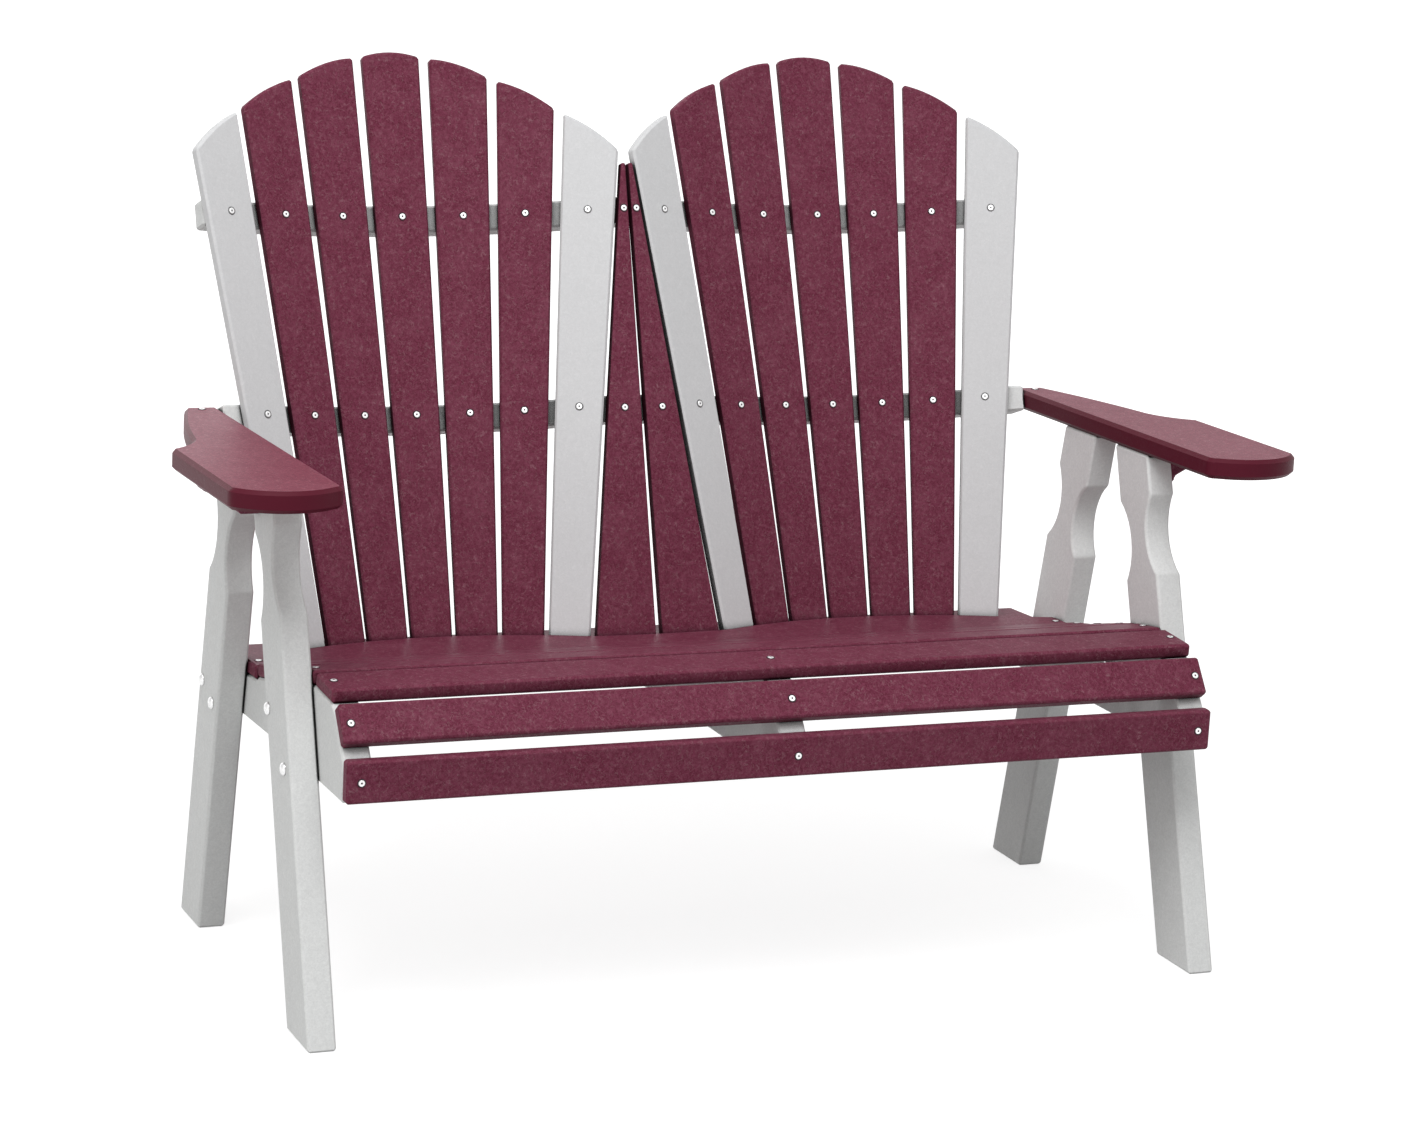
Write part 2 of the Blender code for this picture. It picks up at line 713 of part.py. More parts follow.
def fastener_profile(head_radius, head_height, radius, length):
    """A domed head over z = 0 with its shank below."""
    angles = [math.pi / 2 * i / DOME_STEPS for i in range(DOME_STEPS, -1, -1)]
    dome = [(head_radius * math.cos(a), head_height * math.sin(a)) for a in angles]
    dome[0] = (0, head_height)
    return dome + [(radius, 0), (radius, -length), (0, -length)]


def drill(objects, radius, length, frame, root):
    """Cuts one round hole through each of these objects, along -Z from the frame's origin."""
    reach = radius + CLEARANCE
    start = CUT_OVERRUN
    profile = [(0, start), (reach, start), (reach, -length), (0, -length)]
    cutter = turned_piece("hole cutter", profile, STEEL, frame, root)
    cutter.hide_render = True
    cutter.display_type = "WIRE"
    for obj in objects:
        hole = obj.modifiers.new("hole", "BOOLEAN")
        hole.object = cutter


def add_nut(name, x, y, z, sign, root):
    angles = [math.tau * i / NUT_SIDES for i in range(NUT_SIDES)]
    ring = [(NUT_RADIUS * math.cos(a), NUT_RADIUS * math.sin(a)) for a in angles]
    bm = bmesh.new()
    near = [bm.verts.new((a, b, 0)) for a, b in ring]
    far = [bm.verts.new((a, b, -NUT_HEIGHT)) for a, b in ring]
    bm.faces.new(near)
    bm.faces.new(reversed(far))
    for i in range(NUT_SIDES):
        j = (i + 1) % NUT_SIDES
        bm.faces.new((near[i], near[j], far[j], far[i]))
    frame = Matrix.Translation((sign * x, y, z)) @ Matrix.Rotation(sign * math.pi / 2, 4, "Y")
    return add_object(name, bm, STEEL, frame, root)


def add_leg_bolts(legs, rails, root):
    grip = 2 * HEAVY_BOARD + NUT_HEIGHT + 2 * CLEARANCE + BOLT_END
    outer_x = LEG_X + HEAVY_BOARD / 2 + CLEARANCE
    nut_x = RAIL_X - HEAVY_BOARD / 2 - CLEARANCE
    profile = fastener_profile(BOLT_HEAD_RADIUS, BOLT_HEAD_HEIGHT, BOLT_RADIUS, grip)
    plans = (("front", FRONT_FOOT_Y, FRONT_LEAN, FRONT_BOLTS), ("rear", REAR_FOOT_Y, REAR_LEAN, REAR_BOLTS))
    for side, sign in SIDES:
        for word, foot_y, lean, places in plans:
            for number, (z, behind) in enumerate(places, 1):
                y = foot_y + z * math.tan(lean) + behind
                turn = Matrix.Rotation(sign * math.pi / 2, 4, "Y")
                frame = Matrix.Translation((sign * outer_x, y, z)) @ turn
                turned_piece(f"carriage_bolt_{word}_{side}_{number}", profile, STEEL, frame, root)
                nut = add_nut(f"hex_nut_{word}_{side}_{number}", nut_x, y, z, sign, root)
                held = (legs[word, side], rails[side], nut)
                drill(held, BOLT_RADIUS, grip + CUT_OVERRUN, frame, root)


def add_apron_screws(apron, rails, root):
    profile = fastener_profile(SCREW_HEAD_RADIUS, SCREW_HEAD_HEIGHT, SCREW_RADIUS, SCREW_LENGTH)
    z = LOWER_APRON_Z + LOWER_APRON_HEIGHT / 2
    for word, x in (("left", -RAIL_X), ("centre", 0), ("right", RAIL_X)):
        frame = Matrix.Translation((x, -CLEARANCE, z)) @ Matrix.Rotation(math.pi / 2, 4, "X")
        turned_piece(f"apron_screw_{word}", profile, STEEL, frame, root)
        drill((apron, rails[word]), SCREW_RADIUS, SCREW_LENGTH + CLEARANCE, frame, root)


def spread(start, end, steps):
    return [start + (end - start) * i / steps for i in range(steps + 1)]


def centre_over_origin(root):
    """Moves the parent so that the whole seat stands centred over the origin."""
    bpy.context.view_layer.update()
    graph = bpy.context.evaluated_depsgraph_get()
    solids = [o for o in root.children if not o.hide_render]
    depths = []
    for obj in solids:
        shown = obj.evaluated_get(graph)
        depths += [(shown.matrix_world @ vertex.co).y for vertex in shown.data.vertices]
    root.location.y = -(min(depths) + max(depths)) / 2


def main():
    clear_scene()
    root = bpy.data.objects.new("loveseat", None)
    bpy.context.scene.collection.objects.link(root)
    legs = add_legs(root)
    rails = add_rails(root)
    apron = add_aprons(root)
    add_seat_slats(root)
    add_rear_seat_board(root)
    add_rear_cross_board(root)
    add_back_slats(root)
    add_centre_fillers(root)
    lower_end = arm_inner_x() - CLEARANCE
    upper_end = FAN_OFFSET + fan_edge(UPPER_BACK_RAIL_S)[0] + UPPER_BACK_RAIL_OVERHANG
    add_back_rail("lower_back_rail", LOWER_BACK_RAIL_S, LOWER_BACK_RAIL_HEIGHT, lower_end, root)
    add_back_rail("upper_back_rail", UPPER_BACK_RAIL_S, UPPER_BACK_RAIL_HEIGHT, upper_end, root)
    add_arms(root)
    add_brackets(root)
    add_leg_bolts(legs, rails, root)
    add_apron_screws(apron, rails, root)
    centre_over_origin(root)


main()
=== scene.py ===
import itertools
import json
import math

import bmesh
import bpy
from mathutils import Matrix, Vector
from mathutils.bvhtree import BVHTree

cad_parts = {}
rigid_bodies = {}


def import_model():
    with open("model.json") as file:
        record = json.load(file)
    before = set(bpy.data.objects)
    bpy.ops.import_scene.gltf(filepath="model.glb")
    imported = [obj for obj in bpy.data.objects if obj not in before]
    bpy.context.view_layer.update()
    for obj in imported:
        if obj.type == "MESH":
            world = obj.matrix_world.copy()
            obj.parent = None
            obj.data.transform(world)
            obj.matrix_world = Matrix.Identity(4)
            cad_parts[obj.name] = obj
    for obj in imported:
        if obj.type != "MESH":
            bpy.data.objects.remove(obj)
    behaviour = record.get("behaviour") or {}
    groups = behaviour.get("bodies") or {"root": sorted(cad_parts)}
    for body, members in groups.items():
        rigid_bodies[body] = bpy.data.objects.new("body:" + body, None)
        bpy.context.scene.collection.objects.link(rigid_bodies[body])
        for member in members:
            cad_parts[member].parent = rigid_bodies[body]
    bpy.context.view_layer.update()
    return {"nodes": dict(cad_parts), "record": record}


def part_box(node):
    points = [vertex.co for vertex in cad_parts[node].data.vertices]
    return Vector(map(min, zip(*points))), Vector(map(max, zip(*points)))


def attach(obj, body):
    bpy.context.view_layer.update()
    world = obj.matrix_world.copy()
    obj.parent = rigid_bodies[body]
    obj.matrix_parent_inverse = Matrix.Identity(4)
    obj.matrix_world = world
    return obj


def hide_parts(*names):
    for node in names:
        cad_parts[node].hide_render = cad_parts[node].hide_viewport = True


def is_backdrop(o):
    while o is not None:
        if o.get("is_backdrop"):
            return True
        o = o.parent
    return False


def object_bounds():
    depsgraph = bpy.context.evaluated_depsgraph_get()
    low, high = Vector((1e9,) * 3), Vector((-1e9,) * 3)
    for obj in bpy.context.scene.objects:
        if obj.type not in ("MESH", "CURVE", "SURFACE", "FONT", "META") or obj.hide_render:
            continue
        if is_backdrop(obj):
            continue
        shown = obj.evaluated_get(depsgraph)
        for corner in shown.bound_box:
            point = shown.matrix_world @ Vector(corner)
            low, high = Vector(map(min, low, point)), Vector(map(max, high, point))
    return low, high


for startup in list(bpy.data.objects):
    bpy.data.objects.remove(startup, do_unlink=True)

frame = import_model()

NODES = frame["nodes"]
SLOT_OF = {part["node"]: part["material_slot"] for part in frame["record"]["subparts"]}
SIDES = (("left", -1), ("right", 1))
ARMS = ("arm_left", "arm_right")
# The part's source measures y from the front face of the lower apron
FRONT_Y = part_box("lower_apron")[0].y


# Node helpers

# How far the pattern moves from one board to the next, in metres per unit of the board's own number
BOARD_SHIFT = (7.3, 13.1, 3.7)


class Nodes:
    """Builds the nodes of one material or world with few words."""

    def __init__(self, owner):
        owner.use_nodes = True
        self.owner = owner
        self.tree = owner.node_tree
        self.shader = self.tree.nodes.get("Principled BSDF")

    def put(self, value, socket):
        if isinstance(value, bpy.types.NodeSocket):
            self.tree.links.new(value, socket)
        else:
            socket.default_value = value

    def add(self, kind, settings=None, **inputs):
        node = self.tree.nodes.new(kind)
        for key, value in (settings or {}).items():
            setattr(node, key, value)
        for key, value in inputs.items():
            self.put(value, node.inputs[key.replace("_", " ")])
        return node

    def operate(self, kind, operation, values):
        node = self.add(kind, {"operation": operation})
        for value, socket in zip(values, node.inputs):
            self.put(value, socket)
        return node

    def maths(self, operation, *values):
        return self.operate("ShaderNodeMath", operation, values).outputs[0]

    def plus(self, one, two):
        return self.operate("ShaderNodeVectorMath", "ADD", (one, two)).outputs["Vector"]

    def length(self, vector):
        return self.operate("ShaderNodeVectorMath", "LENGTH", (vector,)).outputs["Value"]

    def height_of(self, vector):
        return self.add("ShaderNodeSeparateXYZ", Vector=vector).outputs["Z"]

    def noise(self, place, scale, detail=2.0, roughness=0.5, distortion=0.0):
        node = self.add(
            "ShaderNodeTexNoise",
            Vector=place,
            Scale=scale,
            Detail=detail,
            Roughness=roughness,
            Distortion=distortion,
        )
        return node.outputs["Fac"]

    def ramp(self, value, low, high):
        """How far value has come from low to high, as 0 to 1."""
        node = self.add("ShaderNodeMapRange", Value=value, From_Min=low, From_Max=high)
        return node.outputs["Result"]

    def mix(self, factor, one, two):
        """A colour from one, at factor 0, to two, at factor 1."""
        node = self.add("ShaderNodeMix", {"data_type": "RGBA"}, Factor=factor)
        colours = [s for s in node.inputs if s.type == "RGBA"]
        for value, socket in zip((one, two), colours):
            is_socket = isinstance(value, bpy.types.NodeSocket)
            self.put(value if is_socket else (*value, 1.0), socket)
        return [s for s in node.outputs if s.type == "RGBA"][0]

    def tint(self, colour, towards, value, span, share):
        """Moves a colour by up to share towards another where value passes through span."""
        factor = self.maths("MULTIPLY", self.ramp(value, *span), share)
        return self.mix(factor, colour, towards)

    def bump(self, height, strength, distance):
        node = self.add("ShaderNodeBump", Height=height, Strength=strength, Distance=distance)
        return node.outputs["Normal"]

    def own_place(self):
        """Object coordinates, moved by an amount of its own for each board."""
        place = self.add("ShaderNodeTexCoord").outputs["Object"]
        seed = self.add("ShaderNodeObjectInfo").outputs["Random"]
        away = self.add("ShaderNodeCombineXYZ")
        for step, socket in zip(BOARD_SHIFT, away.inputs):
            self.put(self.maths("MULTIPLY", seed, step), socket)
        return self.plus(place, away.outputs[0])


def new_material(name):
    return Nodes(bpy.data.materials.new(name))


def shade_of(colour, share):
    return tuple(c * share for c in colour)


# Lumber. Noise scales are per metre, spans are stretches of a noise's value and shares are
# parts of a full blend

FELT = {"scale": 330.0, "detail": 4.0, "roughness": 0.72, "distortion": 0.8}
FELT_SPREAD = 0.12
SPECK = {"scale": 900.0, "roughness": 0.7}
SPECK_SPAN, SPECK_SHARE = (0.56, 0.78), 0.36
BROAD = {"scale": 26.0}
BROAD_SPAN, BROAD_SHARE = (0.42, 0.68), 0.12
SWIRL = {"scale": 62.0, "detail": 5.0, "roughness": 0.62, "distortion": 2.6}
SWIRL_PALE_SPAN, SWIRL_PALE_SHARE = (0.50, 0.72), 0.30
SWIRL_DEEP_SPAN, SWIRL_DEEP_SHARE = (0.47, 0.28), 0.45

CURL = {"detail": 1.0, "roughness": 0.4, "distortion": 0.6}
CURL_PATCH_SHIFT = (3.1, 1.7, 5.9)
LONG_CURLS = {"scale": 150.0, "width": 0.040, "patch_span": (0.47, 0.64), "patch_scale": 120.0}
SHORT_CURLS = {"scale": 230.0, "width": 0.046, "patch_span": (0.48, 0.66), "patch_scale": 160.0}
SHORT_CURL_SHIFT = (9.2, 4.4, 2.8)
CURL_SHARE = 0.34

# Painted shade on the arms: a face that stands is darkened as if in shade, partly its sawn
# surface's own darker tone; a face that lies flat keeps its colour
LYING_FLAT_SPAN = (0.72, 0.985)
SIDE_SHADE_TINT = (0.92, 0.36, 0.56)

# Painted shade: gaps between boards are darkened up to this width, where less light reaches. The
# floor isn't a gap, so near it this painted shade fades
GAP_SHADE_WIDTH = 0.02
GAP_SHADE_SAMPLES = 8
FLOOR_FADE = (0.08, 0.04)

ROUGHNESS_DROP, FELT_ROUGHNESS, CURL_POLISH = 0.05, 0.12, 0.08
FELT_RELIEF, SPECK_RELIEF, CURL_RELIEF = 0.6, 0.25, 0.35
PRESS_DEPTH = 0.0006


def hairlines(n, place, scale, width, patch_span, patch_scale):
    """Short thin curls: contour lines of a smooth noise, kept only in patches."""
    field = n.noise(place, scale, **CURL)
    line = n.maths("ABSOLUTE", n.maths("SUBTRACT", field, 0.5))
    line = n.maths("SUBTRACT", 1.0, n.ramp(line, 0.0, width))
    patch = n.noise(n.plus(place, CURL_PATCH_SHIFT), patch_scale)
    return n.maths("MULTIPLY", line, n.ramp(patch, *patch_span))


def lumber(name, tones, roughness, specular, mottle=1.0, sawn_side_shade=1.0, relief=0.22,
           gap_shade_share=0.04, gap_shade_span=(0.40, 0.82)):
    """Solid moulded lumber: a fine felted mottling with sparse paler curls pressed into it.

    tones are the dark, the body's, the light and the curls' own. A side share below 1 darkens
    the standing sides of a flat-lying board: painted shade, partly their sawn surface's own
    darker tone. The gap share is how much of the dark tone is left deep in a gap, as painted
    shade, and the gap span is the open sky from there to an open face."""
    dark, body, light, thread = tones
    n = new_material(name)
    place = n.own_place()
    felt = n.noise(place, **FELT)
    speck = n.noise(place, **SPECK)
    broad = n.noise(place, **BROAD)
    swirl = n.noise(place, **SWIRL)
    spread = FELT_SPREAD / mottle
    colour = n.mix(n.ramp(felt, 0.5 - spread, 0.5 + spread), dark, body)
    colour = n.tint(colour, light, broad, BROAD_SPAN, BROAD_SHARE * mottle)
    colour = n.tint(colour, light, swirl, SWIRL_PALE_SPAN, SWIRL_PALE_SHARE)
    colour = n.tint(colour, dark, swirl, SWIRL_DEEP_SPAN, SWIRL_DEEP_SHARE)
    colour = n.tint(colour, light, speck, SPECK_SPAN, SPECK_SHARE * mottle)
    long_curls = hairlines(n, place, **LONG_CURLS)
    short_curls = hairlines(n, n.plus(place, SHORT_CURL_SHIFT), **SHORT_CURLS)
    curls = n.maths("MAXIMUM", long_curls, short_curls)
    colour = n.mix(n.maths("MULTIPLY", curls, CURL_SHARE), colour, thread)
    # Painted shade on the standing sides, partly their sawn surface's own darker tone
    if sawn_side_shade < 1:
        facing = n.height_of(n.add("ShaderNodeTexCoord").outputs["Normal"])
        lying_flat = n.ramp(n.maths("ABSOLUTE", facing), *LYING_FLAT_SPAN)
        sawn_and_shaded = tuple(c * sawn_side_shade * share for c, share in zip(body, SIDE_SHADE_TINT))
        colour = n.mix(n.maths("SUBTRACT", 1.0, lying_flat), colour, sawn_and_shaded)

    # Painted shade: deep in gaps the colour goes to the dark tone, by how little open sky a point
    # sees
    sky = n.add("ShaderNodeAmbientOcclusion", {"samples": GAP_SHADE_SAMPLES}, Distance=GAP_SHADE_WIDTH)
    height = n.height_of(n.add("ShaderNodeNewGeometry").outputs["Position"])
    in_light = n.maths(
        "MAXIMUM", n.ramp(sky.outputs["AO"], *gap_shade_span), n.ramp(height, *FLOOR_FADE)
    )
    n.put(n.mix(in_light, shade_of(dark, gap_shade_share), colour), n.shader.inputs["Base Color"])
    n.shader.inputs["Specular IOR Level"].default_value = specular

    rough = n.maths("MULTIPLY", felt, FELT_ROUGHNESS)
    rough = n.maths("ADD", roughness - ROUGHNESS_DROP, rough)
    rough = n.maths("SUBTRACT", rough, n.maths("MULTIPLY", curls, CURL_POLISH))
    rough = n.maths("MAXIMUM", rough, n.maths("SUBTRACT", 1.0, in_light))
    n.put(rough, n.shader.inputs["Roughness"])

    felt_part = n.maths("MULTIPLY", felt, FELT_RELIEF)
    pressed_in = n.maths("ADD", felt_part, n.maths("MULTIPLY", speck, SPECK_RELIEF))
    pressed_in = n.maths("ADD", pressed_in, n.maths("MULTIPLY", curls, CURL_RELIEF))
    n.put(n.bump(pressed_in, relief, PRESS_DEPTH), n.shader.inputs["Normal"])
    return n.owner


# Steel, and the painted shadow in the screws' rims and drive recesses

STEEL_MARKS = {"scale": 420.0, "detail": 3.0, "roughness": 0.6}
STEEL_CLOUD_SCALE = 90.0
STEEL_CLOUD_SPAN, STEEL_DULLING = (0.35, 0.7), 0.88
STEEL_ROUGHNESS_DROP, STEEL_ROUGHNESS_SPREAD = 0.06, 0.16
STEEL_RELIEF, STEEL_MARK_DEPTH = 0.08, 0.0002

RIM_GRAIN_SCALE = 800.0
RIM_GRAIN_SPAN, RIM_GRAIN_LIFT = (0.3, 0.7), 1.9
RIM_ROUGHNESS = 0.7


def steel(name, colour, roughness):
    """Stainless steel with fine marks of its own and a little dulling."""
    n = new_material(name)
    place = n.own_place()
    marks = n.noise(place, **STEEL_MARKS)
    cloud = n.ramp(n.noise(place, STEEL_CLOUD_SCALE), *STEEL_CLOUD_SPAN)
    n.put(n.mix(cloud, shade_of(colour, STEEL_DULLING), colour), n.shader.inputs["Base Color"])
    n.shader.inputs["Metallic"].default_value = 1.0
    spread = n.maths("MULTIPLY", marks, STEEL_ROUGHNESS_SPREAD)
    rough = n.maths("ADD", roughness - STEEL_ROUGHNESS_DROP, spread)
    n.put(rough, n.shader.inputs["Roughness"])
    n.put(n.bump(marks, STEEL_RELIEF, STEEL_MARK_DEPTH), n.shader.inputs["Normal"])
    return n.owner


def shadow_rim(name, colour):
    """A dark ring of painted shadow around a sunk screw head, also painted into its drive recess.
    """
    n = new_material(name)
    grain = n.ramp(n.noise(n.own_place(), RIM_GRAIN_SCALE), *RIM_GRAIN_SPAN)
    n.put(n.mix(grain, colour, shade_of(colour, RIM_GRAIN_LIFT)), n.shader.inputs["Base Color"])
    n.shader.inputs["Roughness"].default_value = RIM_ROUGHNESS
    return n.owner


# Finishes: each lumber's dark, body, light and curl tones, its roughness and its shine

CHERRY_TONES = (
    (0.106, 0.0178, 0.0345),
    (0.175, 0.0362, 0.0678),
    (0.282, 0.0996, 0.141),
    (0.367, 0.213, 0.236),
)
# Paler than the other cherry: painted light and sheen on the arms' tops
LIT_ARM_TONES = (
    (0.122, 0.0195, 0.036),
    (0.232, 0.052, 0.083),
    (0.35, 0.125, 0.165),
    (0.46, 0.235, 0.27),
)
# One dove grey in two copies: the back slats' darker, as painted shade
SHADED_SLAT_GREY_TONES = (
    (0.584, 0.586, 0.589),
    (0.659, 0.661, 0.666),
    (0.704, 0.705, 0.709),
    (0.754, 0.754, 0.760),
)
# The frame's copy of the dove grey is paler than the slats': painted light on the legs and rails
LIT_FRAME_GREY_TONES = (
    (0.65, 0.656, 0.648),
    (0.79, 0.798, 0.788),
    (0.85, 0.858, 0.848),
    (0.88, 0.888, 0.878),
)
CHERRY_ROUGHNESS, CHERRY_SHINE, ARM_SHINE = 0.45, 0.05, 0.10
GREY_ROUGHNESS, GREY_SHINE, GREY_MOTTLE = 0.50, 0.15, 0.5

# Each lumber paints shade in its gaps. The cherry keeps more of its dark tone there, and the
# frame's grey darkens only where a gap is deeper
CHERRY = lumber("cherry lumber", CHERRY_TONES, CHERRY_ROUGHNESS, CHERRY_SHINE, gap_shade_share=0.25)
# The arms: paler tones with painted light and sheen on the tops, and standing sides darkened with
# painted shade
LIT_CHERRY_ARM = lumber("cherry arm lumber with painted light and shade", LIT_ARM_TONES, CHERRY_ROUGHNESS, ARM_SHINE,
                    sawn_side_shade=0.42, relief=0.45)
SHADED_SLAT_GREY = lumber("dove grey lumber", SHADED_SLAT_GREY_TONES, GREY_ROUGHNESS, GREY_SHINE,
                   mottle=GREY_MOTTLE)
LIT_FRAME_GREY = lumber("dove grey frame lumber with painted light", LIT_FRAME_GREY_TONES, GREY_ROUGHNESS, GREY_SHINE,
                    mottle=GREY_MOTTLE, gap_shade_span=(0.30, 0.62))
STEEL = steel("stainless steel", (0.80, 0.80, 0.80), 0.26)
HEAD_STEEL = steel("screw steel", (0.97, 0.97, 0.97), 0.48)
CHERRY_SHADOW_RIM = shadow_rim("cherry screw rim of painted shadow", (0.022, 0.008, 0.012))
GREY_SHADOW_RIM = shadow_rim("grey screw rim of painted shadow", (0.10, 0.10, 0.10))


def finish_of(node_name):
    """The arms take a paler copy of the cherry, with painted light and sheen on their tops. The
    grey slats take a darker copy of the dove grey than the frame: painted shade on the slats,
    painted light on the frame.
    """
    slot = SLOT_OF[node_name]
    if slot == "fasteners":
        return STEEL
    if slot == "cherry_lumber":
        return LIT_CHERRY_ARM if node_name in ARMS else CHERRY
    return SHADED_SLAT_GREY if node_name.startswith("back_slat") else LIT_FRAME_GREY


# Boards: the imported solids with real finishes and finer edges

EDGE_ROUNDING = 0.0010
ARM_EDGE_ROUNDING = 0.0016
EDGE_SEGMENTS = 2
EDGE_ANGLE = math.radians(32)
WELD_DISTANCE = 0.00001
FLAT_FACE_WEIGHT = 90


def refine(obj, width):
    """Rounds a board's eased edges once more and shades its flats as flats."""
    weld = obj.modifiers.new("weld", "WELD")
    weld.merge_threshold = WELD_DISTANCE
    bevel = obj.modifiers.new("rounded edges", "BEVEL")
    bevel.width = width
    bevel.segments = EDGE_SEGMENTS
    bevel.limit_method = "ANGLE"
    bevel.angle_limit = EDGE_ANGLE
    bevel.harden_normals = False
    normals = obj.modifiers.new("flat faces", "WEIGHTED_NORMAL")
    normals.mode = "FACE_AREA"
    normals.weight = FLAT_FACE_WEIGHT
    normals.keep_sharp = False


for node_name, node in NODES.items():
    node.data.materials.clear()
    node.data.materials.append(finish_of(node_name))
    if SLOT_OF[node_name] != "fasteners":
        refine(node, ARM_EDGE_ROUNDING if node_name in ARMS else EDGE_ROUNDING)


# Fasteners are turned shapes around their own z axis, which points out of the board

SMOOTH_ANGLE = math.radians(34)


def link(name, bm, *materials):
    """Makes a fastener of a finished mesh, riding on the body."""
    bmesh.ops.recalc_face_normals(bm, faces=bm.faces)
    mesh = bpy.data.meshes.new(name)
    bm.to_mesh(mesh)
    bm.free()
    mesh.shade_smooth()
    mesh.set_sharp_from_angle(angle=SMOOTH_ANGLE)
    for material in materials:
        mesh.materials.append(material)
    obj = bpy.data.objects.new(name, mesh)
    bpy.context.scene.collection.objects.link(obj)
    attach(obj, "root")
    return obj


def turned(bm, profile, steps, squeeze=None, shadow_bands=0, closed=False):
    """Adds a turned shape. profile lists radius and height, from the axis out and back to it,
    or, where closed, around the cross-section of a ring.

    squeeze gives, for the number of a point in the profile, a function of the angle that
    scales its radius, for lobes and flats. The first bands, as many as are given as shadow
    bands, take the second material, which paints their shadow."""
    rings = []
    for number, (radius, z) in enumerate(profile):
        if radius == 0:
            rings.append([bm.verts.new((0, 0, z))])
            continue
        scale = (squeeze or {}).get(number, lambda angle: 1)
        ring = []
        for i in range(steps):
            angle = math.tau * i / steps
            reach = radius * scale(angle)
            ring.append(bm.verts.new((reach * math.cos(angle), reach * math.sin(angle), z)))
        rings.append(ring)
    following = rings[1:] + rings[:1] if closed else rings[1:]
    for band, (one, two) in enumerate(zip(rings, following)):
        for i in range(steps):
            j = (i + 1) % steps
            corners = [one[i % len(one)], one[j % len(one)], two[j % len(two)], two[i % len(two)]]
            face = bm.faces.new(list(dict.fromkeys(corners)))
            face.material_index = 1 if band < shadow_bands else 0


HEAD_RADIUS = 0.0042
HEAD_HEIGHT = 0.0012
HEAD_CORNER = 0.0006
HEAD_CORNER_ANGLES = [math.radians(degrees) for degrees in (90, 65, 40, 20, 0)]
HEAD_SINK = 0.0004
RECESS_RADIUS = 0.0013
RECESS_DEPTH = 0.0010
RECESS_TAPER = 0.9
RECESS_LIP_WIDTH = 0.0002
RECESS_LIP_DEPTH = 0.0001
# The recess's walls and floor are painted dark: painted shadow
SHADOWED_RECESS_BANDS = 2
LOBES = 6
LOBE_DEPTH = 0.16
RIM_RADIUS = 0.0058
RIM_HEIGHT = 0.0007
RIM_SINK = 0.0003
RIM_INNER_CLEARANCE = 0.0001
RIM_INNER_SLOPE = 0.0003
RIM_OUTER_SLOPE = 0.0003
RIM_INNER_FOOT = 0.0001
RIM_OUTER_FOOT = 0.00005
SCREW_STEPS = 36


def lobes(angle):
    return 1 + LOBE_DEPTH * math.cos(LOBES * angle)


def screw_head(name, place, normal, shadow_rim_material, spin):
    """A low pan head with a lobed drive recess, in a dark rim. The rim and the recess are painted
    shadow.
    """
    bm = bmesh.new()
    floor = HEAD_HEIGHT - RECESS_DEPTH
    profile = [(0, floor), (RECESS_RADIUS * RECESS_TAPER, floor)]
    profile.append((RECESS_RADIUS, HEAD_HEIGHT - RECESS_LIP_DEPTH))
    profile.append((RECESS_RADIUS + RECESS_LIP_WIDTH, HEAD_HEIGHT))
    for angle in HEAD_CORNER_ANGLES:
        profile.append((HEAD_RADIUS - HEAD_CORNER * (1 - math.cos(angle)),
                        HEAD_HEIGHT - HEAD_CORNER * (1 - math.sin(angle))))
    profile += [(HEAD_RADIUS, -HEAD_SINK), (0, -HEAD_SINK)]
    turned(bm, profile, SCREW_STEPS, squeeze={1: lobes, 2: lobes}, shadow_bands=SHADOWED_RECESS_BANDS)

    inner = HEAD_RADIUS + RIM_INNER_CLEARANCE
    rim = [
        (inner, -RIM_SINK),
        (inner, RIM_INNER_FOOT),
        (inner + RIM_INNER_SLOPE, RIM_HEIGHT),
        (RIM_RADIUS - RIM_OUTER_SLOPE, RIM_HEIGHT),
        (RIM_RADIUS, RIM_OUTER_FOOT),
        (RIM_RADIUS, -RIM_SINK),
    ]
    # A low dark ring around the head: painted shadow
    turned(bm, rim, SCREW_STEPS, shadow_bands=len(rim), closed=True)
    obj = link(name, bm, HEAD_STEEL, shadow_rim_material)
    turn = normal.to_track_quat("Z", "Y").to_matrix().to_4x4()
    obj.data.transform(Matrix.Translation(place) @ turn @ Matrix.Rotation(spin, 4, "Z"))
    return obj


TREES = {}


def surface(node_name, start, direction):
    """Point and outward normal where a ray first meets a packed board."""
    if node_name not in TREES:
        mesh = NODES[node_name].data
        points = [v.co.copy() for v in mesh.vertices]
        TREES[node_name] = BVHTree.FromPolygons(points, [tuple(p.vertices) for p in mesh.polygons])
    place, normal, _, _ = TREES[node_name].ray_cast(Vector(start), direction)
    if place is None:
        raise ValueError(f"no surface of {node_name} from {start}")
    return place, -normal if normal.dot(direction) > 0 else normal


# Each screw's drive stops at an angle of its own
SPIN_STEP = 1.1
spins = (SPIN_STEP * number for number in itertools.count(1))


def screw_on(name, node_name, start, direction):
    place, normal = surface(node_name, start, direction)
    shadow_rim_material = GREY_SHADOW_RIM if SLOT_OF[node_name] == "grey_lumber" else CHERRY_SHADOW_RIM
    screw_head(name, place, normal, shadow_rim_material, next(spins))


# Back: the screws follow the fan slats' centre lines, as the part's source lays them out

